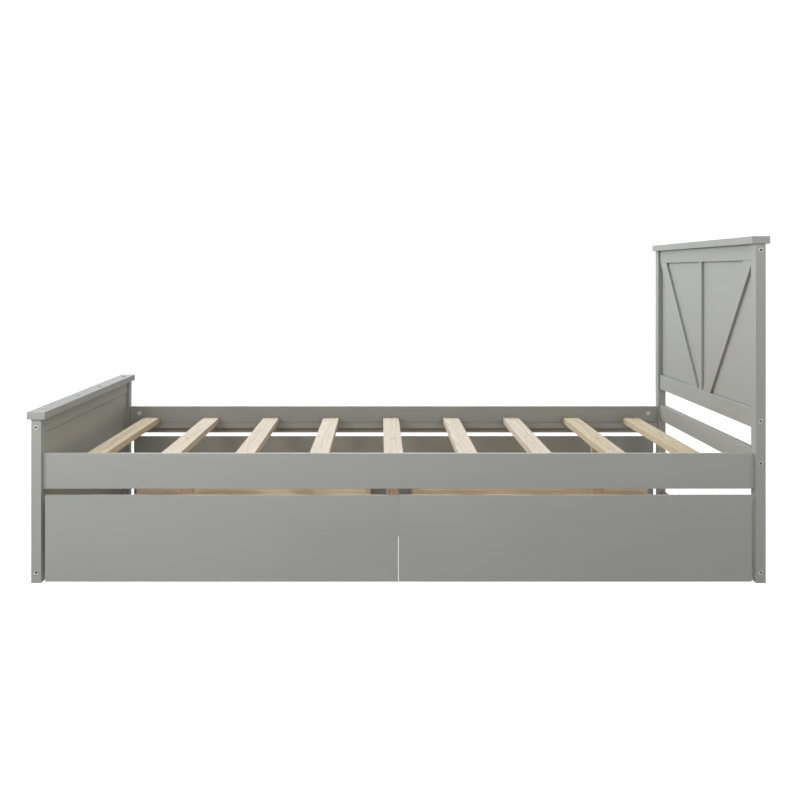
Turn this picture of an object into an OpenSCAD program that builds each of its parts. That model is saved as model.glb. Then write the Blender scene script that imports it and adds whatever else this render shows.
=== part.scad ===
// Platform bed with a panelled headboard, a low footboard and four drawers that roll out from under it.
// Millimetres. The origin is on the floor under the middle of the bed: +X points to the head end,
// +Y to the left side of the bed (seen by someone who stands at its foot), +Z up.

/* [Frame] */
// Clear length between the head posts and the foot posts, which the mattress fills
inner_l = 1904.4; // [1890:0.1:2040]
// Width over the outer faces of the posts
frame_w = 1450; // [1380:1:1700]
// Thickness of a post along the bed
post_t = 26.5; // [26:0.5:34]
// Width of a post across the bed
post_w = 53; // [48:1:80]
// Height of the head posts, under their cap
head_post_h = 904.5; // [820:0.5:1200]
// Height of the foot posts, under their cap
foot_post_h = 436; // [420:0.5:560]

/* [Caps] */
// Width of a cap along the bed
cap_w = 48; // [40:1:80]
// Thickness of a cap
cap_t = 20; // [14:0.5:30]
// How far a cap's ends stand out past the posts
cap_over = 5; // [2:0.5:20]

/* [Side rails and slats] */
// Thickness of a side rail
rail_t = 18; // [18:0.5:30]
// Height of a side rail
rail_h = 94.5; // [90:0.5:110]
// Height of a side rail's lower edge over the floor
rail_z = 249; // [245:1:260]
// Width of a cleat, which carries the slat ends
cleat_w = 20; // [16:0.5:30]
// Height of a cleat
cleat_h = 19; // [12:0.5:22]
// Height of the slats' underside over the floor
slat_z = 285.5; // [280:0.5:295]
// Thickness of a slat
slat_t = 19.8; // [15:0.1:25]
// Width of a slat along the bed
slat_w = 56; // [40:1:90]
// Distance from one slat's centre to the next
slat_pitch = 215.2; // [180:0.1:220]
// Side of a centre leg's square section
leg_w = 38; // [30:1:50]
// How far the slats, legs and drawer boxes sit towards the foot end
foot_shift = 10; // [0:0.5:12]

/* [Headboard and footboard] */
// Thickness of the cross rails
cross_t = 18; // [17.5:0.5:19]
// How far the cross rails sit back from the posts' inner faces
cross_back = 6; // [3:0.1:7.4]
// How far the headboard's panel sits back from its rails
head_panel_back = 7.8; // [6:0.1:11]
// How far the footboard's panel sits back from its rails
foot_panel_back = 2.5; // [1:0.5:6]
// Thickness of the panels
panel_t = 6; // [4:0.5:6]
// Height of the headboard's top rail
head_top_h = 43.5; // [40:0.5:60]
// Lower edge of the headboard's middle rail
head_mid_z = 408; // [390:1:420]
// Height of the headboard's middle rail
head_mid_h = 51; // [40:1:60]
// Lower edge of the headboard's bottom rail
head_low_z = 296.5; // [280:0.5:310]
// Height of the headboard's bottom rail
head_low_h = 55; // [40:1:60]
// Lower edge of the stretcher between the head posts, near the floor
head_floor_z = 14; // [8:1:40]
// Height of the stretcher between the head posts
head_floor_h = 26; // [24:1:40]
// Height of the footboard's top rail
foot_top_h = 41; // [38:0.5:60]
// Lower edge of the footboard's bottom rail
foot_low_z = 6; // [4:1:30]
// Height of the footboard's bottom rail
foot_low_h = 44; // [30:1:60]
// Width of the stile in the middle of the headboard
stile_w = 36; // [24:1:60]
// Width of a brace, measured square across it
brace_w = 64; // [40:1:90]
// Gap between a brace's top corner and the post
brace_gap = 10; // [5:1:30]
// Gap between a brace's foot and the stile
brace_foot = 19; // [0:1:40]

/* [Drawers] */
// Thickness of a drawer front
front_t = 16; // [14:0.5:20]
// Height of a drawer front
front_h = 230; // [200:1:236]
// Gap under a drawer front
front_z = 4; // [3:0.5:6]
// Gap between the two fronts on one side of the bed
front_gap = 1.4; // [1:0.1:4]
// Gap between a drawer front and the post beside it
post_gap = 10.7; // [3:0.1:14]
// Outer width of a drawer box along the bed
box_w = 755; // [600:1:780]
// Distance from the bed's middle to the inner side of a drawer box
box_in = 71.7; // [60:0.1:80]
// Distance from the bed's centre line to the back of a drawer box
box_back = 128; // [60:1:300]
// Height of a drawer box's rim over the floor
box_top = 140; // [100:1:200]
// Thickness of the drawer box walls
wall_t = 12; // [12:0.5:16]
// Thickness of the drawer bottoms
bottom_t = 5; // [3:0.5:6]
// Diameter of a drawer wheel
wheel_d = 32; // [24:1:34]

/* [Hidden] */
$fn = 48;

LEG_SLATS = [2, 5, 8];
SLATS = 9;

// Ends are -1 for the foot and 1 for the head, sides are -1 for the right and 1 for the left.
FOOT = -1;
HEAD = 1;
RIGHT = -1;
LEFT = 1;

post_in_x = inner_l / 2;
post_mid_x = post_in_x + post_t / 2;
post_out_y = frame_w / 2;
post_mid_y = post_out_y - post_w / 2;
post_in_y = post_out_y - post_w;

rail_in_y = post_mid_y - rail_t / 2;
cross_x = post_in_x + cross_back;
groove = 8;
// How far the stile and the braces sit back from the rails' faces
brace_back = 0.5;
brace_x = cross_x + brace_back;
// Gap between a slat's end and the side rail
slat_gap = 1.5;
// How far a cut starts outside the face that it opens in
cut = 1;

head_top_z = head_post_h - head_top_h;
head_mid_top = head_mid_z + head_mid_h;
foot_top_z = foot_post_h - foot_top_h;
foot_low_top = foot_low_z + foot_low_h;

// Lower and upper edge of each cross rail, from the floor up
head_rails = [
    [head_floor_z, head_floor_z + head_floor_h],
    [head_low_z, head_low_z + head_low_h],
    [head_mid_z, head_mid_top],
    [head_top_z, head_post_h]
];
foot_rails = [[foot_low_z, foot_low_top], [foot_top_z, foot_post_h]];

// Bolts and their barrel nuts. A bolt's head stands a little proud of the post or cap.
bolt_d = 6;
bolt_in_rail = 29;
bolt_l = post_w + bolt_in_rail;
bolt_head_d = 12.5;
bolt_head_h = 3;
bolt_proud = 1;
socket_d = 5;
socket_h = 4;
nut_d = 12;
nut_wall = 1;
nut_bore_z = cross_x + cross_t - post_mid_x;
nut_l = nut_bore_z + bolt_d / 2 + nut_wall;
nut_slot = 1.4;
nut_in = 20;
hole_play = 0.2;
// How far each bolt sits over the middle of its rail
head_bolt_up = [1, -5, -2, 5];
foot_bolt_up = [0, -0.5];
head_bolt_z = [for (i = [0:3]) (head_rails[i][0] + head_rails[i][1]) / 2 + head_bolt_up[i]];
foot_bolt_z = [for (i = [0:1]) (foot_rails[i][0] + foot_rails[i][1]) / 2 + foot_bolt_up[i]];

// Cam fittings between the side rails and the posts: a dowel screwed into the post and a round cam
cam_up = 70;
cam_z = rail_z + cam_up;
cam_in = 34;
cam_d = 15;
dowel_d = 6;
dowel_neck_d = 4;
dowel_head_d = 7;
cam_l = (rail_t + dowel_head_d) / 2;
dowel_in_post = 9;
dowel_past_cam = 3;
dowel_neck = [6, 1];
cross_slot = [5, 1.2, 1.4];

// Bolts screwed through the caps into the top rails
cap_bolt_in_rail = 28;
cap_bolt_l = cap_t + cap_bolt_in_rail;
cap_bolt_proud = 2;
cap_bolt_y = [172, post_in_y - 42];

// Bolts screwed down into the centre legs, with their heads sunk in the slats
leg_bolt_l = 70;
sink_d = 16;
sink_h = 5;

// Drawer boxes
wall_z = 20;
bottom_z = 36;
board_groove = 6;
glue_line = 0.2;
front_in_y = post_out_y - front_t;
box_mid_x = box_in + box_w / 2;
wheel_w = 13;
wheel_inset = 50;
wheel_side = 34;
wheel_x = box_w / 2 - wall_t - wheel_side;
axle_d = 5;
axle_z = wheel_d / 2;
axle_play = 0.05;
plate_t = 1.5;
plate = [40, 34];
cheek_gap = 0.6;
rivet_d = 8;
rivet_h = 1.2;

// Bays that the drawers stand in, each as [end, side]
RIGHT_FOOT = [FOOT, RIGHT];
RIGHT_HEAD = [HEAD, RIGHT];
LEFT_FOOT = [FOOT, LEFT];
LEFT_HEAD = [HEAD, LEFT];

PAINT = "#a9aaa5";
PINE = "#dcc19a";
PLY = "#d3b88f";
STEEL = "silver";
BRACKET = "gainsboro";
WHEEL = "#3a3a3a";

// ---------- helpers ----------

// A board between two opposite corners
module board(low, high) {
    translate(low)
        cube(high - low);
}

// A board across the bed, at one end of it: x is counted outwards from the middle of the bed
module cross_board(end, x, half_y, z) {
    board(
        [min(end * x[0], end * x[1]), -half_y, z[0]],
        [max(end * x[0], end * x[1]), half_y, z[1]]
    );
}

// How far out from the middle of the bed the inner face of one end's panel is
function panel_x(end) = cross_x + (end == HEAD ? head_panel_back : foot_panel_back);

function slat_x(i) = (i - (SLATS + 1) / 2) * slat_pitch - foot_shift;

// Puts its children at each bolt through a post at one end and side, with +Z pointing inwards
module at_post_bolts(end, side) {
    for (z = end == HEAD ? head_bolt_z : foot_bolt_z)
        translate([end * post_mid_x, side * post_out_y, z])
            rotate([90 * side, 0, 0])
                children();
}

// Puts its children at the end face of a side rail, on the dowel's axis, with +Z along the rail
module at_dowel(end, side) {
    translate([end * post_in_x, side * post_mid_y, cam_z])
        rotate([0, -90 * end, 0])
            children();
}

// Puts its children at a cam in a side rail's inner face, with +Z into the rail
module at_cam(end, side) {
    translate([end * (post_in_x - cam_in), side * rail_in_y, cam_z])
        rotate([-90 * side, 0, 0])
            children();
}

// Puts its children at each bolt on top of a cap, with +Z pointing down
module at_cap_bolts(end) {
    for (y = cap_bolt_y)
        for (side = [RIGHT, LEFT])
            translate([end * post_mid_x, side * y, (end == HEAD ? head_post_h : foot_post_h) + cap_t])
                rotate([180, 0, 0])
                    children();
}

// Puts its children in the middle of each slat over a leg, at its top face, with +Z pointing down
module at_leg_bolts() {
    for (i = LEG_SLATS)
        translate([slat_x(i), 0, slat_z + slat_t])
            rotate([180, 0, 0])
                children();
}

// A bolt with a hexagon socket; its head starts at z = 0 and its length is counted from there
module bolt(length) {
    difference() {
        union() {
            cylinder(d = bolt_head_d, h = bolt_head_h);
            cylinder(d = bolt_d, h = length);
        }
        translate([0, 0, -cut])
            cylinder(d = socket_d, h = cut + socket_h, $fn = 6);
    }
}

// The hole for a bolt whose head stands proud of the face it goes in at, with the same length
module bolt_hole(length, proud) {
    translate([0, 0, -cut])
        cylinder(d = bolt_head_d + hole_play, h = cut + bolt_head_h - proud);
    cylinder(d = bolt_d + hole_play, h = length);
}

module leg_bolt() {
    translate([0, 0, sink_h - bolt_head_h])
        bolt(leg_bolt_l);
}

module leg_bolt_hole() {
    translate([0, 0, -cut])
        cylinder(d = sink_d, h = cut + sink_h);
    cylinder(d = bolt_d + hole_play, h = sink_h + leg_bolt_l);
}

// A nut pushed into a cross rail's outer face, with +Z into the rail; the bolt passes through it
module barrel_nut() {
    difference() {
        cylinder(d = nut_d, h = nut_l);
        translate([0, 0, nut_bore_z])
            rotate([90, 0, 0])
                cylinder(d = bolt_d + hole_play, h = nut_d + 2 * cut, center = true);
        translate([-nut_d / 2, -nut_slot / 2, -cut])
            cube([nut_d, nut_slot, cut + nut_slot]);
    }
}

// Puts its children at each barrel nut in the cross rails' outer faces, with +Z into the rail
module at_nuts(end, side) {
    for (z = end == HEAD ? head_bolt_z : foot_bolt_z)
        translate([end * (cross_x + cross_t), side * (post_in_y - nut_in), z])
            rotate([0, -90 * end, 0])
                children();
}

module nut_hole() {
    translate([0, 0, -cut])
        cylinder(d = nut_d + hole_play, h = cut + nut_l + hole_play);
}

// A dowel whose thread is in the post and whose necked head is in the cam
module dowel() {
    translate([0, 0, -dowel_in_post])
        cylinder(d = dowel_d, h = dowel_in_post + cam_in - dowel_neck[0]);
    translate([0, 0, cam_in - dowel_neck[0]])
        cylinder(d = dowel_neck_d, h = dowel_neck[0] - dowel_neck[1]);
    translate([0, 0, cam_in - dowel_neck[1]])
        cylinder(d = dowel_head_d, h = dowel_neck[1] + dowel_past_cam);
}

module dowel_hole() {
    translate([0, 0, -dowel_in_post - hole_play])
        cylinder(d = dowel_d + hole_play, h = hole_play + dowel_in_post + cut);
    cylinder(d = dowel_head_d + hole_play, h = cam_in + dowel_past_cam + hole_play);
}

module cam_hole() {
    translate([0, 0, -cut])
        cylinder(d = cam_d + hole_play, h = cut + cam_l + hole_play);
}

// The cross-shaped recess that a screwdriver turns, with its mouth at z = 0
module cross_recess() {
    for (turn = [0, 90])
        rotate([0, 0, turn])
            translate([-cross_slot[0] / 2, -cross_slot[1] / 2, -cut])
                cube([cross_slot[0], cross_slot[1], cut + cross_slot[2]]);
}

// ---------- headboard and footboard ----------

// The panel of one end, with the edges that sit in the grooves of the posts and rails
module panel_board(end) {
    x = panel_x(end);
    z = end == HEAD ? [head_mid_top, head_top_z] : [foot_low_top, foot_top_z];
    cross_board(end, [x, x + panel_t], post_in_y + groove, z + [-groove, groove]);
}

module post(end, side) {
    height = end == HEAD ? head_post_h : foot_post_h;
    color(PAINT)
        difference() {
            translate([end * post_mid_x - post_t / 2, side * post_mid_y - post_w / 2, 0])
                cube([post_t, post_w, height]);
            panel_board(end);
            at_post_bolts(end, side)
                bolt_hole(bolt_l, bolt_proud);
            at_dowel(end, side)
                dowel_hole();
        }
}

module cap(end) {
    under = end == HEAD ? head_post_h : foot_post_h;
    color(PAINT)
        difference() {
            cross_board(
                end, [post_mid_x - cap_w / 2, post_mid_x + cap_w / 2],
                post_out_y + cap_over, [under, under + cap_t]
            );
            at_cap_bolts(end)
                bolt_hole(cap_bolt_l, cap_bolt_proud);
        }
}

// A rail between the two posts of one end; z is its lower and upper edge
module cross_rail(end, z) {
    color(PAINT)
        difference() {
            cross_board(end, [cross_x, cross_x + cross_t], post_in_y, z);
            panel_board(end);
            for (side = [RIGHT, LEFT]) {
                at_post_bolts(end, side)
                    bolt_hole(bolt_l, bolt_proud);
                at_nuts(end, side)
                    nut_hole();
            }
            at_cap_bolts(end)
                bolt_hole(cap_bolt_l, cap_bolt_proud);
        }
}

module head_panel() {
    color(PAINT)
        panel_board(HEAD);
}

module foot_panel() {
    color(PAINT)
        panel_board(FOOT);
}

module head_stile() {
    color(PAINT)
        board([brace_x, -stile_w / 2, head_mid_top], [panel_x(HEAD), stile_w / 2, head_top_z]);
}

// A brace runs from beside the foot of the stile up and out to the top rail, and both its ends are cut level
module head_brace(side) {
    rise = head_top_z - head_mid_top;
    foot_y = stile_w / 2 + brace_foot;
    top_y = post_in_y - brace_gap;
    run = top_y - foot_y;
    // Its level width w solves w * rise = brace_w * norm([run - w, rise])
    a = rise * rise - brace_w * brace_w;
    b = brace_w * brace_w * run;
    c = brace_w * brace_w * (run * run + rise * rise);
    w = (sqrt(b * b + a * c) - b) / a;
    color(PAINT)
        translate([brace_x, 0, 0])
            rotate([90, 0, 90])
                linear_extrude(panel_x(HEAD) - brace_x)
                    polygon([
                        [side * foot_y, head_mid_top],
                        [side * (foot_y + w), head_mid_top],
                        [side * top_y, head_top_z],
                        [side * (top_y - w), head_top_z]
                    ]);
}

// ---------- side rails, slats and legs ----------

module side_rail(side) {
    color(PAINT)
        difference() {
            translate([-post_in_x, side * post_mid_y - rail_t / 2, rail_z])
                cube([inner_l, rail_t, rail_h]);
            for (end = [FOOT, HEAD]) {
                at_dowel(end, side)
                    dowel_hole();
                at_cam(end, side)
                    cam_hole();
            }
        }
}

module cleat(side) {
    end_gap = 2;
    color(PAINT)
        translate([end_gap - post_in_x, side * (rail_in_y - cleat_w / 2) - cleat_w / 2, slat_z - cleat_h])
            cube([inner_l - 2 * end_gap, cleat_w, cleat_h]);
}

module slat(i) {
    half_l = rail_in_y - slat_gap;
    color(PINE)
        difference() {
            board(
                [slat_x(i) - slat_w / 2, -half_l, slat_z],
                [slat_x(i) + slat_w / 2, half_l, slat_z + slat_t]
            );
            at_leg_bolts()
                leg_bolt_hole();
        }
}

module centre_legs() {
    color(PINE)
        difference() {
            for (i = LEG_SLATS)
                translate([slat_x(i) - leg_w / 2, -leg_w / 2, 0])
                    cube([leg_w, leg_w, slat_z]);
            at_leg_bolts()
                leg_bolt_hole();
        }
}

// ---------- fasteners ----------

module frame_bolts() {
    color(STEEL)
        for (end = [FOOT, HEAD])
            for (side = [RIGHT, LEFT])
                at_post_bolts(end, side)
                    translate([0, 0, -bolt_proud])
                        bolt(bolt_l);
}

module barrel_nuts() {
    color(STEEL)
        for (end = [FOOT, HEAD])
            for (side = [RIGHT, LEFT])
                at_nuts(end, side)
                    barrel_nut();
}

module cam(end, side) {
    difference() {
        at_cam(end, side)
            cylinder(d = cam_d, h = cam_l);
        at_cam(end, side)
            cross_recess();
        at_dowel(end, side)
            dowel_hole();
    }
}

// The cams, each with the dowel that it grips
module cam_fittings() {
    color(STEEL)
        for (end = [FOOT, HEAD])
            for (side = [RIGHT, LEFT]) {
                cam(end, side);
                at_dowel(end, side)
                    dowel();
            }
}

module cap_bolts() {
    color(STEEL)
        for (end = [FOOT, HEAD])
            at_cap_bolts(end)
                translate([0, 0, -cap_bolt_proud])
                    bolt(cap_bolt_l);
}

module leg_bolts() {
    color(STEEL)
        at_leg_bolts()
            leg_bolt();
}

// ---------- drawers ----------

// Moves a piece that is drawn for a left-hand drawer, with x = 0 at its box's middle, into its bay
module in_bay(bay) {
    translate([bay[0] * box_mid_x - foot_shift, 0, 0])
        mirror([0, bay[1] == RIGHT ? 1 : 0, 0])
            children();
}

module bottom_board() {
    half_x = box_w / 2 - wall_t + board_groove;
    board(
        [-half_x, box_back + board_groove, bottom_z],
        [half_x, front_in_y + board_groove, bottom_z + bottom_t]
    );
}

module drawer_front(bay) {
    front_w = post_in_x - post_gap - front_gap / 2;
    front_mid_x = (front_w + front_gap) / 2;
    front_mid_y = post_out_y - front_t / 2;
    color(PAINT)
        difference() {
            translate([bay[0] * front_mid_x - front_w / 2, bay[1] * front_mid_y - front_t / 2, front_z])
                cube([front_w, front_t, front_h]);
            in_bay(bay)
                bottom_board();
        }
}

module drawer_walls(bay) {
    half_x = box_w / 2;
    in_x = half_x - wall_t;
    back_half_x = in_x - glue_line;
    color(PINE)
        in_bay(bay)
            difference() {
                union() {
                    board([-half_x, box_back, wall_z], [-in_x, front_in_y, box_top]);
                    board([in_x, box_back, wall_z], [half_x, front_in_y, box_top]);
                    board([-back_half_x, box_back, wall_z], [back_half_x, box_back + wall_t, box_top]);
                }
                bottom_board();
            }
}

module drawer_bottom(bay) {
    color(PLY)
        in_bay(bay)
            bottom_board();
}

// Puts its children at the middle of each wheel of one pair: the pair nearer the front, or the other
module at_wheels(y) {
    for (x = [-wheel_x, wheel_x])
        translate([x, y, axle_z])
            children();
}

outer_wheel_y = front_in_y - wheel_inset;
inner_wheel_y = box_back + wheel_inset;

// One side plate of a wheel bracket: a tapered ear with a round end about the axle
module cheek(x) {
    ear_r = 6;
    ear_in = 3;
    top = bottom_z - axle_z - plate_t / 2;
    half_w = plate[1] / 2 - ear_in;
    translate([x, 0, 0])
        rotate([90, 0, 90])
            linear_extrude(plate_t, center = true) {
                circle(ear_r);
                polygon([[-half_w, top], [-ear_r, 0], [ear_r, 0], [half_w, top]]);
            }
}

// A plate under the drawer's bottom, two cheeks and the riveted axle
module bracket() {
    cheek_x = wheel_w / 2 + cheek_gap + plate_t / 2;
    axle_l = 2 * cheek_x + plate_t;
    translate([-plate[0] / 2, -plate[1] / 2, bottom_z - axle_z - plate_t])
        cube([plate[0], plate[1], plate_t]);
    for (side = [-1, 1]) {
        cheek(side * cheek_x);
        translate([side * (axle_l + rivet_h) / 2, 0, 0])
            rotate([0, 90, 0])
                cylinder(d = rivet_d, h = rivet_h, center = true);
    }
    rotate([0, 90, 0])
        cylinder(d = axle_d, h = axle_l, center = true);
}

module drawer_brackets(bay) {
    color(BRACKET)
        in_bay(bay)
            for (y = [outer_wheel_y, inner_wheel_y])
                at_wheels(y)
                    bracket();
}

// A moulded wheel: a rim with eased edges, a thinner web and a hub with the axle's bore
module wheel() {
    bore_r = axle_d / 2 + axle_play;
    hub_r = 5.6;
    rim_t = 4;
    rim_r = wheel_d / 2;
    web_r = rim_r - rim_t;
    ease = 1.2;
    hub_h = wheel_w / 2;
    hub_proud = 0.5;
    web_h = wheel_w / 4;
    rim_h = hub_h - hub_proud;
    half = [
        [bore_r, hub_h],
        [hub_r, hub_h],
        [hub_r, web_h],
        [web_r, web_h],
        [web_r, rim_h],
        [rim_r - ease, rim_h],
        [rim_r, rim_h - ease]
    ];
    rotate([0, 90, 0])
        rotate_extrude($fn = 64)
            polygon(concat(half, [for (i = [len(half) - 1:-1:0]) [half[i][0], -half[i][1]]]));
}

module drawer_wheels(bay, y) {
    color(WHEEL)
        in_bay(bay)
            at_wheels(y)
                wheel();
}

// ---------- nodes ----------

post(HEAD, RIGHT);  // head_post_right
post(HEAD, LEFT);  // head_post_left
cap(HEAD);  // head_cap
cross_rail(HEAD, head_rails[3]);  // head_top_rail
head_panel();
head_stile();
head_brace(RIGHT);  // head_brace_right
head_brace(LEFT);  // head_brace_left
cross_rail(HEAD, head_rails[2]);  // head_middle_rail
cross_rail(HEAD, head_rails[1]);  // head_bottom_rail
cross_rail(HEAD, head_rails[0]);  // head_floor_rail
post(FOOT, RIGHT);  // foot_post_right
post(FOOT, LEFT);  // foot_post_left
cap(FOOT);  // foot_cap
cross_rail(FOOT, foot_rails[1]);  // foot_top_rail
foot_panel();
cross_rail(FOOT, foot_rails[0]);  // foot_bottom_rail
side_rail(RIGHT);  // side_rail_right
side_rail(LEFT);  // side_rail_left
cleat(RIGHT);  // cleat_right
cleat(LEFT);  // cleat_left
slat(1);  // slat_1
slat(2);  // slat_2
slat(3);  // slat_3
slat(4);  // slat_4
slat(5);  // slat_5
slat(6);  // slat_6
slat(7);  // slat_7
slat(8);  // slat_8
slat(9);  // slat_9
centre_legs();
frame_bolts();
barrel_nuts();
cam_fittings();
cap_bolts();
leg_bolts();
drawer_front(RIGHT_FOOT);  // drawer_right_foot_front
drawer_walls(RIGHT_FOOT);  // drawer_right_foot_walls
drawer_bottom(RIGHT_FOOT);  // drawer_right_foot_bottom
drawer_brackets(RIGHT_FOOT);  // drawer_right_foot_brackets
drawer_wheels(RIGHT_FOOT, outer_wheel_y);  // drawer_right_foot_outer_wheels
drawer_wheels(RIGHT_FOOT, inner_wheel_y);  // drawer_right_foot_inner_wheels
drawer_front(RIGHT_HEAD);  // drawer_right_head_front
drawer_walls(RIGHT_HEAD);  // drawer_right_head_walls
drawer_bottom(RIGHT_HEAD);  // drawer_right_head_bottom
drawer_brackets(RIGHT_HEAD);  // drawer_right_head_brackets
drawer_wheels(RIGHT_HEAD, outer_wheel_y);  // drawer_right_head_outer_wheels
drawer_wheels(RIGHT_HEAD, inner_wheel_y);  // drawer_right_head_inner_wheels
drawer_front(LEFT_FOOT);  // drawer_left_foot_front
drawer_walls(LEFT_FOOT);  // drawer_left_foot_walls
drawer_bottom(LEFT_FOOT);  // drawer_left_foot_bottom
drawer_brackets(LEFT_FOOT);  // drawer_left_foot_brackets
drawer_wheels(LEFT_FOOT, outer_wheel_y);  // drawer_left_foot_outer_wheels
drawer_wheels(LEFT_FOOT, inner_wheel_y);  // drawer_left_foot_inner_wheels
drawer_front(LEFT_HEAD);  // drawer_left_head_front
drawer_walls(LEFT_HEAD);  // drawer_left_head_walls
drawer_bottom(LEFT_HEAD);  // drawer_left_head_bottom
drawer_brackets(LEFT_HEAD);  // drawer_left_head_brackets
drawer_wheels(LEFT_HEAD, outer_wheel_y);  // drawer_left_head_outer_wheels
drawer_wheels(LEFT_HEAD, inner_wheel_y);  // drawer_left_head_inner_wheels
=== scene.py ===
"""Looks of a platform bed with storage drawers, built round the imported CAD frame. Metres, +X to the head end."""
import math
import random

import bpy
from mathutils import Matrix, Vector


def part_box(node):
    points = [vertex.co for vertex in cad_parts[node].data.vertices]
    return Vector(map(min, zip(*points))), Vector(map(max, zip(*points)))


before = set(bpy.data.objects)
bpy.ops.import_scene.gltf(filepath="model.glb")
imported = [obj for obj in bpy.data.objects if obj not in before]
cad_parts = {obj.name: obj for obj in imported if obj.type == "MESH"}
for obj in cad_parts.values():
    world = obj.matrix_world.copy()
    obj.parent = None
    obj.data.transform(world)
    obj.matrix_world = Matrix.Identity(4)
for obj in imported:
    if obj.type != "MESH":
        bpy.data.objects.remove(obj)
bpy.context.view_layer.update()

BAYS = ("right_foot", "right_head", "left_foot", "left_head")
MM = 0.001
AXES = "XYZ"
# The values that a noise texture mostly has
NOISE_LOW, NOISE_HIGH = 0.3, 0.7


# ---------- shader helpers ----------

def srgb(red, green, blue):
    """A colour given as 0 to 255 display values, as the linear RGBA that a shader takes."""
    def linear(value):
        value /= 255
        return value / 12.92 if value <= 0.04045 else ((value + 0.055) / 1.055) ** 2.4
    return (linear(red), linear(green), linear(blue), 1.0)


class Shader:
    """A material's node tree, with short names for the nodes that the finishes are made of."""

    def __init__(self, name):
        self.material = bpy.data.materials.new(name)
        self.material.use_nodes = True
        self.tree = self.material.node_tree
        self.tree.nodes.clear()
        output = self.tree.nodes.new("ShaderNodeOutputMaterial")
        self.surface = self.tree.nodes.new("ShaderNodeBsdfPrincipled")
        self.tree.links.new(self.surface.outputs["BSDF"], output.inputs["Surface"])

    def set(self, socket, value):
        """Links value to the socket if it comes from another node, or else puts it on the socket itself."""
        if isinstance(value, bpy.types.NodeSocket):
            self.tree.links.new(value, socket)
        else:
            socket.default_value = value

    def node(self, kind, inputs=(), **settings):
        """A new node. inputs maps its sockets to values; settings are its own properties."""
        made = self.tree.nodes.new(kind)
        for key, value in settings.items():
            setattr(made, key, value)
        for key, value in dict(inputs).items():
            self.set(made.inputs[key], value)
        return made

    def finish(self, **inputs):
        """Sets the Principled shader's own sockets. A name's underscores stand for spaces."""
        for key, value in inputs.items():
            self.set(self.surface.inputs[key.replace("_", " ")], value)
        return self.material

    def math(self, operation, a, b=0.0, c=0.0):
        return self.node("ShaderNodeMath", {0: a, 1: b, 2: c}, operation=operation).outputs[0]

    def vector(self, operation, a, b=(0, 0, 0)):
        made = self.node("ShaderNodeVectorMath", {0: a, 1: b}, operation=operation)
        return made.outputs["Value" if operation == "LENGTH" else "Vector"]

    def split(self, vector):
        return self.node("ShaderNodeSeparateXYZ", {0: vector}).outputs

    def join(self, x, y, z):
        return self.node("ShaderNodeCombineXYZ", {0: x, 1: y, 2: z}).outputs[0]

    def place(self):
        """Coordinates in the row frame that stay with the piece when it moves."""
        return self.node("ShaderNodeTexCoord").outputs["Object"]

    def noise(self, where, scale, detail=3.0, roughness=0.5, stretch=(1, 1, 1)):
        where = self.vector("MULTIPLY", where, stretch)
        settings = {"Vector": where, "Scale": scale, "Detail": detail, "Roughness": roughness}
        return self.node("ShaderNodeTexNoise", settings).outputs["Fac"]

    def ramp(self, value, low, high, out_low=0.0, out_high=1.0):
        """A smooth step of value from low to high."""
        settings = {"Value": value, "From Min": low, "From Max": high, "To Min": out_low, "To Max": out_high}
        return self.node("ShaderNodeMapRange", settings, interpolation_type="SMOOTHSTEP").outputs["Result"]

    def spread(self, noise, out_low, out_high):
        """A noise, spread from out_low to out_high over the values that it mostly has."""
        return self.ramp(noise, NOISE_LOW, NOISE_HIGH, out_low, out_high)

    def mix(self, amount, a, b):
        """a where amount is 0, b where it is 1, for colours or vectors. 6, 7 and 2 are the node's colour sockets."""
        made = self.node("ShaderNodeMix", {0: amount, 6: a, 7: b}, data_type="RGBA")
        return made.outputs[2]

    def shade(self, colour, value):
        """colour made darker or lighter by value, which is 1 where it stays."""
        if isinstance(colour, tuple):
            colour = colour[:3]
        return self.vector("MULTIPLY", colour, self.join(value, value, value))

    def bump(self, height, depth, before=None):
        """A relief whose height runs from 0 to 1 over a real depth in metres."""
        settings = {"Height": height, "Distance": depth, "Strength": 1.0}
        if before is not None:
            settings["Normal"] = before
        return self.node("ShaderNodeBump", settings).outputs["Normal"]


def board_space(shader, node, along):
    """(where, edge) of one board. where is centred on it, with x along its grain; edge is the distance to its edges.

    The distance to the nearest edge is the middle one of the distances to its three pairs of faces.
    """
    low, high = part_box(node)
    centre, half = (low + high) / 2, (high - low) / 2
    local = shader.vector("SUBTRACT", shader.place(), tuple(centre))
    parts = shader.split(local)
    order = [along] + [a for a in AXES if a != along]
    turned = shader.join(*(parts[AXES.index(a)] for a in order))
    gaps = [shader.math("SUBTRACT", half[i], shader.math("ABSOLUTE", parts[i])) for i in range(3)]
    lesser = shader.math("MINIMUM", gaps[0], gaps[1])
    greater = shader.math("MAXIMUM", gaps[0], gaps[1])
    edge = shader.math("MAXIMUM", lesser, shader.math("MINIMUM", greater, gaps[2]))
    return turned, edge


# ---------- finishes ----------

PAINT = srgb(172, 173, 168)
PAINT_WORN = srgb(184, 185, 180)
# The colour of the painted shade in a panel's corners
PAINT_CORNER_SHADE = srgb(112, 112, 107)
PAINT_GLOSS = 0.45
# How wide the wear along an edge and the painted shade in a panel's corner reach, and how strongly they show
EDGE_WEAR, WEAR_AMOUNT = 1.4 * MM, 0.55
CORNER_SHADE_WIDTH, CORNER_SHADE_AMOUNT = 6 * MM, 0.7
# How far the paint's texture may be shifted, so that no two boards show the same part of it
SHIFT = 5
# How high the relief of the wood's grain, its pores and the sprayed paint stands
PAINT_GRAIN_RELIEF = 0.05 * MM
PAINT_PORE_RELIEF = 0.02 * MM
PAINT_SPRAY_RELIEF = 0.012 * MM


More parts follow.
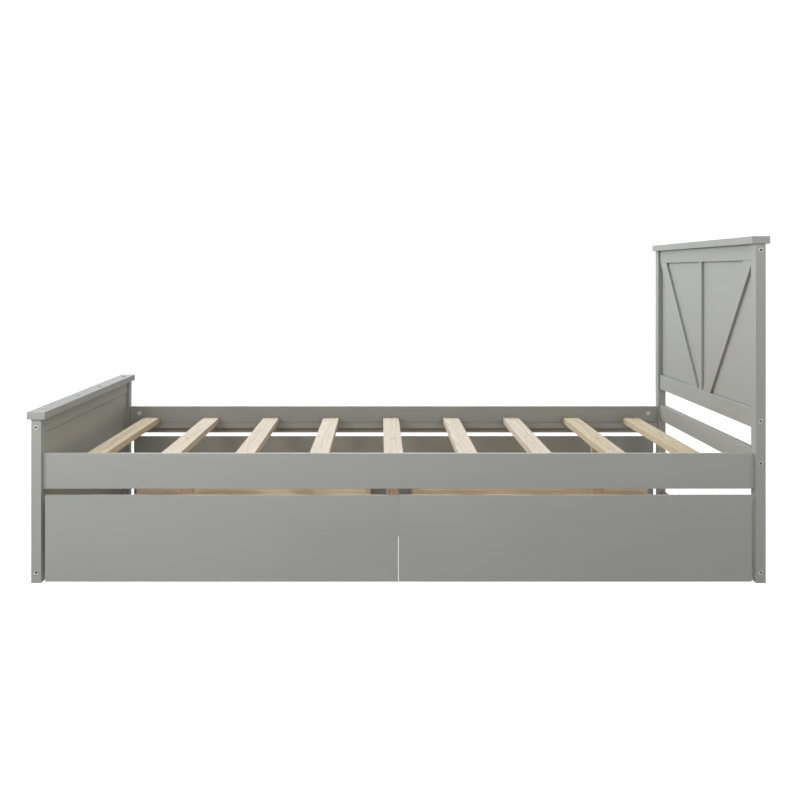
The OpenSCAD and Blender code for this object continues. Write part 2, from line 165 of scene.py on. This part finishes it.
def painted_corner_shade(shader, end):
    """How much painted shade a panel gets: most in the corner where it meets its rails and posts, none a little way
    from it.
    """
    y, z = shader.split(shader.place())[1:]
    under = "head_middle_rail" if end == "head" else "foot_bottom_rail"
    half_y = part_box(f"{end}_post_left")[0].y
    low_z, high_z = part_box(under)[1].z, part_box(f"{end}_top_rail")[0].z
    beside = shader.math("SUBTRACT", half_y, shader.math("ABSOLUTE", y))
    over = shader.math("MINIMUM", shader.math("SUBTRACT", z, low_z), shader.math("SUBTRACT", high_z, z))
    return shader.ramp(shader.math("MINIMUM", beside, over), 0.0, CORNER_SHADE_WIDTH, CORNER_SHADE_AMOUNT, 0.0)


def paint(node, along, lean=0.0):
    """Warm grey satin paint sprayed over planed wood, with the grain just telling through and the edges worn.

    lean turns the grain of a board that slants.
    """
    shader = Shader(f"paint_{node}")
    draw = random.Random(node)
    where, edge = board_space(shader, node, along)
    if lean:
        where = shader.node("ShaderNodeVectorRotate", {"Vector": where, "Angle": lean},
                            rotation_type="Z_AXIS").outputs[0]
    where = shader.vector("ADD", where, tuple(draw.uniform(-SHIFT, SHIFT) for _ in range(3)))
    grain = shader.noise(where, 90, 4, 0.6, (0.035, 1, 1))
    pores = shader.noise(where, 420, 2, 0.5, (0.03, 1, 1))
    clouds = shader.noise(where, 3.5, 2, 0.5, (0.5, 1, 1))
    spray = shader.noise(where, 950, 2, 0.5)
    worn_by = shader.math("MULTIPLY", shader.noise(where, 45, 3, 0.6), EDGE_WEAR)
    worn = shader.ramp(edge, 0.0, worn_by, WEAR_AMOUNT, 0.0)
    tone = shader.math("ADD", shader.spread(grain, -0.018, 0.012),
                       shader.spread(clouds, 0.978, 1.018))
    tone = shader.math("ADD", tone, draw.uniform(-0.008, 0.008))
    colour = shader.mix(worn, PAINT, PAINT_WORN)
    # Panels are painted darker into the corners where they meet their rails and posts: painted shade.
    if node.endswith("_panel"):
        end = node.split("_")[0]
        colour = shader.mix(painted_corner_shade(shader, end), colour, PAINT_CORNER_SHADE)
    colour = shader.shade(colour, tone)
    rough = shader.math("ADD", shader.ramp(clouds, 0.25, 0.75, 0.40, 0.47),
                        shader.spread(spray, -0.02, 0.03))
    relief = shader.bump(grain, PAINT_GRAIN_RELIEF)
    relief = shader.bump(pores, PAINT_PORE_RELIEF, relief)
    relief = shader.bump(spray, PAINT_SPRAY_RELIEF, relief)
    return shader.finish(Base_Color=colour, Roughness=rough, Normal=relief, Specular_IOR_Level=PAINT_GLOSS)


def wood(early, late, knot, ring):
    """One kind of natural wood: the colours of its early growth, late growth and knots, and its rings' width."""
    return {"early": srgb(*early), "late": srgb(*late), "knot": srgb(*knot), "ring": ring}


PALE_PINE = wood((231, 217, 194), (212, 187, 154), (134, 96, 64), 3.4 * MM)
HONEY_PINE = wood((222, 206, 173), (199, 171, 131), (122, 82, 50), 3.4 * MM)
BOX_WOOD = wood((230, 211, 186), (208, 184, 156), (116, 80, 54), 4.2 * MM)
LEG_WOOD = wood((210, 188, 158), (180, 150, 116), (110, 74, 48), 3.0 * MM)
PLY_WOOD = wood((212, 193, 164), (190, 166, 134), (126, 92, 64), 9.0 * MM)
WOOD_GLOSS = 0.4
BOARD_RELIEF = 0.06 * MM
BOX_RELIEF = 0.05 * MM
# How strongly the late growth and the knots are coloured
LATE_AMOUNT = 0.75
KNOT_AMOUNT = 0.8
# A knot is drawn out along the grain. Its halo, so many times its radius wide, pushes the rings aside.
KNOT_STRETCH = 0.55
KNOT_HALO = 4.5
KNOT_PUSH = 1.3
# How far the tree's heart may lie off the board's middle, across its face and below it
HEART_ACROSS = 0.03
HEART_BELOW = (0.035, 0.075)
# How far the rings bend along the board, and how far they ripple
BEND = 0.030
RIPPLE = 0.010


def growth(shader, where, draw, kind, knots, board_tone_and_painted_light=1.0):
    """(colour, height) of planed wood. where runs along the grain in x; knots are (x, y, radius) on the board."""
    parts = shader.split(where)
    bend = shader.noise(where, 2.2, 2, 0.5, (0.5, 3, 3))
    ripple = shader.noise(where, 14, 3, 0.55, (0.16, 1, 1))
    heart_y = draw.uniform(-HEART_ACROSS, HEART_ACROSS)
    heart_z = draw.choice((-1, 1)) * draw.uniform(*HEART_BELOW)
    y = shader.math("ADD", parts[1], shader.math("MULTIPLY_ADD", bend, BEND, heart_y - BEND / 2))
    z = shader.math("ADD", parts[2], shader.math("MULTIPLY_ADD", ripple, RIPPLE, heart_z - RIPPLE / 2))
    radius = shader.vector("LENGTH", shader.join(0.0, y, z))
    knot_mark = 0.0
    for along, across, size in knots:
        dx = shader.math("MULTIPLY", shader.math("SUBTRACT", parts[0], along), KNOT_STRETCH)
        dy = shader.math("SUBTRACT", parts[1], across)
        away = shader.vector("LENGTH", shader.join(dx, dy, 0.0))
        halo = shader.ramp(away, 0.0, size * KNOT_HALO, 1.0, 0.0)
        radius = shader.math("MULTIPLY_ADD", halo, size * KNOT_PUSH, radius)
        core = shader.ramp(away, size * 0.35, size, 1.0, 0.0)
        knot_mark = shader.math("MAXIMUM", core, knot_mark)
    rings = shader.math("FRACT", shader.math("DIVIDE", radius, kind["ring"]))
    late = shader.math("MULTIPLY", shader.ramp(rings, 0.15, 0.86), shader.ramp(rings, 0.90, 1.0, 1.0, 0.0))
    fibres = shader.noise(where, 700, 3, 0.6, (0.02, 1, 1))
    streaks = shader.noise(where, 60, 3, 0.6, (0.02, 1, 1))
    clouds = shader.noise(where, 5, 2, 0.5, (0.3, 1, 1))
    colour = shader.mix(shader.math("MULTIPLY", late, LATE_AMOUNT), kind["early"], kind["late"])
    tone = shader.math("ADD", shader.ramp(fibres, 0.25, 0.75, -0.05, 0.04),
                       shader.spread(streaks, 0.96, 1.03))
    tone = shader.math("ADD", tone, shader.spread(clouds, -0.03, 0.03))
    tone = shader.math("ADD", tone, draw.uniform(-0.03, 0.03))
    colour = shader.shade(colour, shader.math("MULTIPLY", tone, board_tone_and_painted_light))
    colour = shader.mix(shader.math("MULTIPLY", knot_mark, KNOT_AMOUNT), colour, kind["knot"])
    height = shader.math("ADD", shader.math("MULTIPLY", fibres, 0.6), shader.math("MULTIPLY", late, 0.4))
    return colour, height


def natural(node, along, kind, knots=(), board_tone_and_painted_light=1.0):
    """Planed, unpainted wood for one board, a little darker along its edges."""
    shader = Shader(f"wood_{node}")
    draw = random.Random(node)
    where, edge = board_space(shader, node, along)
    colour, height = growth(shader, where, draw, kind, knots, board_tone_and_painted_light)
    colour = shader.shade(colour, shader.ramp(edge, 0.0, 2.5 * MM, 0.90, 1.0))
    return shader.finish(Base_Color=colour, Roughness=shader.ramp(height, 0.2, 0.8, 0.64, 0.53),
                         Normal=shader.bump(height, BOARD_RELIEF), Specular_IOR_Level=WOOD_GLOSS)


# The side walls' thickness with the glue line, and a shift that gives the side walls other rings than the back
BOX_WALL = 12.1 * MM
SIDE_SHIFT = 0.4


def drawer_wood(node):
    """Wood of a drawer's box. The grain runs along each wall, so it turns where the sides meet the back."""
    shader = Shader(f"wood_{node}")
    draw = random.Random(node)
    low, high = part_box(node)
    centre, half_x = (low + high) / 2, (high.x - low.x) / 2
    local = shader.vector("SUBTRACT", shader.place(), tuple(centre))
    x, y, z = shader.split(local)
    on_side = shader.math("GREATER_THAN", shader.math("ABSOLUTE", x), half_x - BOX_WALL)
    back = shader.join(x, z, y)
    side = shader.join(y, z, shader.math("ADD", x, SIDE_SHIFT))
    where = shader.mix(on_side, back, side)
    knot = (draw.uniform(-0.3, 0.3), 0.02, 4 * MM)
    colour, height = growth(shader, where, draw, BOX_WOOD, [knot])
    return shader.finish(Base_Color=colour, Roughness=shader.ramp(height, 0.2, 0.8, 0.60, 0.48),
                         Normal=shader.bump(height, BOX_RELIEF), Specular_IOR_Level=WOOD_GLOSS)


ZINC = srgb(236, 236, 234)
DARK_STEEL = srgb(72, 66, 60)
BRACKET_STEEL = srgb(196, 198, 200)
# The colour of the painted shade in the fasteners' recesses and under their heads
RECESS_SHADE = srgb(104, 102, 98)
# How deep in a recess its painted shade starts, and how deep it covers everything
SHADE_FROM, SHADE_FULL = 0.4 * MM, 1.2 * MM
TOOL_MARKS = 0.008 * MM
# A depth that no point on the bed has
FAR_BELOW = 9.0


def depth_below(shader, axis, faces):
    """How deep a point lies under the face of the head that it belongs to. Heads look out along one axis.

    One face stands for the heads on both sides of the bed. With more, the nearest one over the point counts.
    """
    level = shader.split(shader.place())[AXES.index(axis)]
    if len(faces) == 1:
        level = shader.math("ABSOLUTE", level)
    nearest = None
    for face in faces:
        depth = shader.math("SUBTRACT", face, level)
        lower = shader.math("LESS_THAN", depth, 0.0)
        depth = shader.math("ADD", depth, shader.math("MULTIPLY", lower, FAR_BELOW))
        nearest = depth if nearest is None else shader.math("MINIMUM", nearest, depth)
    return nearest


def metal(name, colour, rough, metallic, axis="", faces=()):
    """Plated steel with fine tool marks. A milky plating scatters like paint, so its metallic is lower.

    axis and faces say where the heads' faces are, so that all that lies below them, in the recesses and on the
    heads' sides, is painted dark as shade.
    """
    shader = Shader(name)
    where = shader.place()
    marks = shader.noise(where, 1600, 3, 0.6)
    patches = shader.noise(where, 160, 3, 0.6)
    tone = shader.math("ADD", shader.spread(marks, 0.93, 1.04),
                       shader.spread(patches, -0.04, 0.03))
    if faces:
        # Painted shade: all that lies under the heads' faces is darkened.
        recess_shade = shader.ramp(depth_below(shader, axis, faces), SHADE_FROM, SHADE_FULL)
        colour = shader.mix(recess_shade, colour, RECESS_SHADE)
    return shader.finish(Base_Color=shader.shade(colour, tone), Metallic=metallic,
                         Roughness=shader.spread(patches, rough - 0.05, rough + 0.08),
                         Normal=shader.bump(marks, TOOL_MARKS))


NYLON = srgb(40, 40, 41)
NYLON_SCUFFED = srgb(74, 73, 71)
NYLON_RELIEF = 0.02 * MM


def nylon():
    """Black moulded nylon, slightly scuffed."""
    shader = Shader("wheel_nylon")
    where = shader.place()
    skin = shader.noise(where, 1300, 3, 0.6)
    scuffs = shader.ramp(shader.noise(where, 120, 4, 0.65), 0.55, 0.75)
    colour = shader.mix(scuffs, NYLON, NYLON_SCUFFED)
    return shader.finish(Base_Color=colour, Roughness=shader.ramp(scuffs, 0, 1, 0.42, 0.62),
                         Normal=shader.bump(skin, NYLON_RELIEF))


# ---------- geometry helpers ----------

WELD_GAP = 0.01 * MM
# Faces that meet at less than the first angle count as one; edges sharper than the second are rounded. Degrees.
FLAT_ANGLE = 0.5
SHARP_ANGLE = 50
BEVEL_SEGMENTS = 3


def ease_edges(node, width):
    """Rounds a CAD node's sharp edges by a small width. Modifiers do it, so the node's own points stay."""
    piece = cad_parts[node]
    weld = piece.modifiers.new("weld", "WELD")
    weld.merge_threshold = WELD_GAP
    flat = piece.modifiers.new("flat_faces", "DECIMATE")
    flat.decimate_type = "DISSOLVE"
    flat.angle_limit = math.radians(FLAT_ANGLE)
    bevel = piece.modifiers.new("eased_edges", "BEVEL")
    bevel.width = width
    bevel.segments = BEVEL_SEGMENTS
    bevel.limit_method = "ANGLE"
    bevel.angle_limit = math.radians(SHARP_ANGLE)
    bevel.use_clamp_overlap = False
    bevel.loop_slide = False
    bevel.harden_normals = False
    shade_smooth(piece)


def shade_smooth(piece):
    """Smooth shading whose normals follow the large faces, so that these stay flat up to their rounded edges."""
    normals = piece.modifiers.new("weighted_normals", "WEIGHTED_NORMAL")
    normals.keep_sharp = False
    for polygon in piece.data.polygons:
        polygon.use_smooth = True


def dress(node, material, ease=0.0):
    """Gives a CAD node its material and, if ease isn't 0, rounded edges."""
    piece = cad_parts[node]
    piece.data.materials.clear()
    piece.data.materials.append(material)
    if ease:
        ease_edges(node, ease)


# ---------- the bed ----------

# How far edges are rounded: boards, the drawers' thinner walls, brackets and wheels, and fasteners
BOARD_EASE = 0.7 * MM
WALL_EASE = 0.8 * MM
ROLLER_EASE = 0.3 * MM
FASTENER_EASE = 0.25 * MM
SLATS = range(1, 10)
# The slats that were cut from yellower boards, and how light each of these is. Slat 1's extra lightness is painted
# light that makes up for the shade the footboard casts on it.
HONEY_SLATS_AND_PAINTED_LIGHT = {1: 1.22, 8: 1.06, 9: 1.06}
# Where a slat's knots lie along it, how far they may lie off its middle line, and their radii in mm
KNOT_PLACES = (-0.33, 0.05, 0.60)
KNOT_OFF = 0.012
KNOT_RADII = (3.0, 5.0)


def dress_painted_frame():
    along_z = ["head_post_right", "head_post_left", "foot_post_right", "foot_post_left", "head_stile"]
    along_y = ["head_cap", "foot_cap", "head_top_rail", "head_middle_rail", "head_bottom_rail",
               "head_floor_rail", "foot_top_rail", "foot_bottom_rail", "head_panel", "foot_panel"]
    along_x = ["side_rail_right", "side_rail_left", "cleat_right", "cleat_left"]
    along_x += [f"drawer_{bay}_front" for bay in BAYS]
    for axis, nodes in (("Z", along_z), ("Y", along_y), ("X", along_x)):
        for node in nodes:
            dress(node, paint(node, axis), BOARD_EASE)
    for node, side in (("head_brace_right", 1), ("head_brace_left", -1)):
        low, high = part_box(node)
        lean = math.atan2(high.z - low.z, high.y - low.y)
        dress(node, paint(node, "Y", side * lean), BOARD_EASE)


def dress_deck():
    for number in SLATS:
        node = f"slat_{number}"
        draw = random.Random(node)
        knots = [(place, draw.uniform(-KNOT_OFF, KNOT_OFF), draw.uniform(*KNOT_RADII) * MM) for place in KNOT_PLACES]
        # The honey slats' yellower tone is their boards' own; slat 1's lightness is painted light.
        if number in HONEY_SLATS_AND_PAINTED_LIGHT:
            finish = natural(node, "Y", HONEY_PINE, knots, HONEY_SLATS_AND_PAINTED_LIGHT[number])
        else:
            finish = natural(node, "Y", PALE_PINE, knots)
        dress(node, finish, BOARD_EASE)
    dress("centre_legs", natural("centre_legs", "Z", LEG_WOOD), BOARD_EASE)


def dress_drawers():
    nylon_finish = nylon()
    bracket_finish = metal("bracket_steel", BRACKET_STEEL, 0.38, 0.7)
    for bay in BAYS:
        dress(f"drawer_{bay}_walls", drawer_wood(f"drawer_{bay}_walls"), WALL_EASE)
        dress(f"drawer_{bay}_bottom", natural(f"drawer_{bay}_bottom", "X", PLY_WOOD))
        dress(f"drawer_{bay}_brackets", bracket_finish, ROLLER_EASE)
        for pair in ("outer", "inner"):
            dress(f"drawer_{bay}_{pair}_wheels", nylon_finish, ROLLER_EASE)


def dress_fasteners():
    side_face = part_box("frame_bolts")[1].y
    head_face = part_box("cap_bolts")[1].z
    foot_face = head_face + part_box("foot_cap")[1].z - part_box("head_cap")[1].z
    plated = {"frame_bolts": ("Y", [side_face]), "cap_bolts": ("Z", [head_face, foot_face]),
              "barrel_nuts": (), "cam_fittings": ()}
    for node, heads in plated.items():
        dress(node, metal(f"zinc_{node}", ZINC, 0.38, 0.1, *heads), FASTENER_EASE)
    dress("leg_bolts", metal("dark_steel", DARK_STEEL, 0.42, 0.5), FASTENER_EASE)


# ---------- stage, light and camera ----------

FLOOR_HALF = 30.0
FLOOR_TONES = (0.24, 0.26)
# The floor's own light, and how much more of it the camera sees
FLOOR_GLOW = 0.206
FLOOR_LIFT = 0.8


def stage():
    """A pale floor. What the camera sees of it is lifted to white; the light that it throws back is not."""
    mesh = bpy.data.meshes.new("floor")
    half = FLOOR_HALF
    mesh.from_pydata([(-half, -half, 0), (half, -half, 0), (half, half, 0), (-half, half, 0)], [], [(0, 1, 2, 3)])
    floor = bpy.data.objects.new("floor", mesh)
    bpy.context.scene.collection.objects.link(floor)
    shader = Shader("pale_floor")
    cloud = shader.noise(shader.place(), 1.5, 2)
    tone = shader.spread(cloud, *FLOOR_TONES)
    seen = shader.node("ShaderNodeLightPath").outputs["Is Camera Ray"]
    glow = shader.math("MULTIPLY_ADD", seen, FLOOR_LIFT, FLOOR_GLOW)
    mesh.materials.append(shader.finish(Base_Color=shader.join(tone, tone, tone), Roughness=0.7,
                                        Emission_Color=(1, 1, 1, 1), Emission_Strength=glow))


# The even light from all round, and the white that the camera sees behind the bed
AMBIENT = 0.08
BACKDROP = 1.1


def white_world():
    """White behind the bed, and a weaker even light from all round."""
    world = bpy.data.worlds.new("white_studio")
    bpy.context.scene.world = world
    world.use_nodes = True
    tree = world.node_tree
    seen = tree.nodes.new("ShaderNodeLightPath").outputs["Is Camera Ray"]
    strength = tree.nodes.new("ShaderNodeMapRange")
    tree.links.new(seen, strength.inputs["Value"])
    strength.inputs["To Min"].default_value = AMBIENT
    strength.inputs["To Max"].default_value = BACKDROP
    background = tree.nodes["Background"]
    background.inputs["Color"].default_value = (1, 1, 1, 1)
    tree.links.new(strength.outputs["Result"], background.inputs["Strength"])


# The light from behind is a little cooler than the light in front
DAYLIGHT = (0.965, 1.0, 1.025)
WHITE = (1, 1, 1)
BED, DECK, DRAWERS = (0, 0, 0.4), (0, 0, 0.3), (-0.4, -0.7, 0.3)
# Name, place, the point that it faces, width and height in metres, watts, colour.
# head_fill stays low and narrow, so that the headboard keeps it off everything but its own back.
LIGHTS = (
    ("left_back", (-3.8, 3.6, 2.4), BED, (2.0, 2.0), 154, DAYLIGHT),
    ("back_top", (0, 4.2, 3.2), DECK, (3.0, 1.6), 103, DAYLIGHT),
    ("back_high", (-1.5, 2.6, 3.6), DECK, (2.0, 1.6), 30, DAYLIGHT),
    ("back_low", (0, 5.5, 1.1), BED, (4.5, 1.6), 24, DAYLIGHT),
    ("left_front", (-1.4, -2.0, 1.2), DRAWERS, (0.8, 0.8), 15.6, WHITE),
    ("middle_front", (0.3, -2.2, 2.0), (0.2, -0.7, 0.3), (1.2, 0.8), 12, WHITE),
    ("right_front", (1.6, -2.6, 1.6), (0.6, -0.7, 0.3), (1.0, 0.8), 10.5, WHITE),
    ("near_front", (-0.6, -1.5, 1.5), DRAWERS, (1.8, 0.4), 4.2, WHITE),
    ("right_fill", (3.8, -4.2, 2.4), (0, -0.3, 0.3), (2.0, 2.0), 4.5, WHITE),
    ("head_fill", (4.5, 0, 1.2), (0.96, 0, 0.5), (1.2, 1.2), 45, WHITE),
)
# The one camera that explains every edge in the photo: level, square to the bed's side, and shifted
CAMERA_PLACE = (-0.0483, -4.703, 0.829)
CAMERA_TURN = (math.radians(90), 0, 0)
CAMERA_LENS = 67.2
CAMERA_SENSOR = 36
CAMERA_SHIFT = (0.0246, -0.16)


def softbox(name, place, target, size, power, colour):
    """A rectangular area light at place that faces target."""
    data = bpy.data.lights.new(name, "AREA")
    data.shape = "RECTANGLE"
    data.size, data.size_y = size
    data.energy = power
    data.color = colour
    light = bpy.data.objects.new(name, data)
    light.location = place
    light.rotation_mode = "QUATERNION"
    light.rotation_quaternion = (Vector(target) - Vector(place)).to_track_quat("-Z", "Y")
    light.visible_camera = False
    bpy.context.scene.collection.objects.link(light)


def light_and_camera():
    scene = bpy.context.scene
    scene.view_settings.view_transform = "Standard"
    white_world()
    for light in LIGHTS:
        softbox(*light)

    camera = bpy.data.cameras.new("camera")
    camera.sensor_width = CAMERA_SENSOR
    camera.lens = CAMERA_LENS
    camera.shift_x, camera.shift_y = CAMERA_SHIFT
    viewer = bpy.data.objects.new("camera", camera)
    viewer.location = CAMERA_PLACE
    viewer.rotation_euler = CAMERA_TURN
    scene.collection.objects.link(viewer)
    scene.camera = viewer


dress_painted_frame()
dress_deck()
dress_drawers()
dress_fasteners()
stage()
light_and_camera()
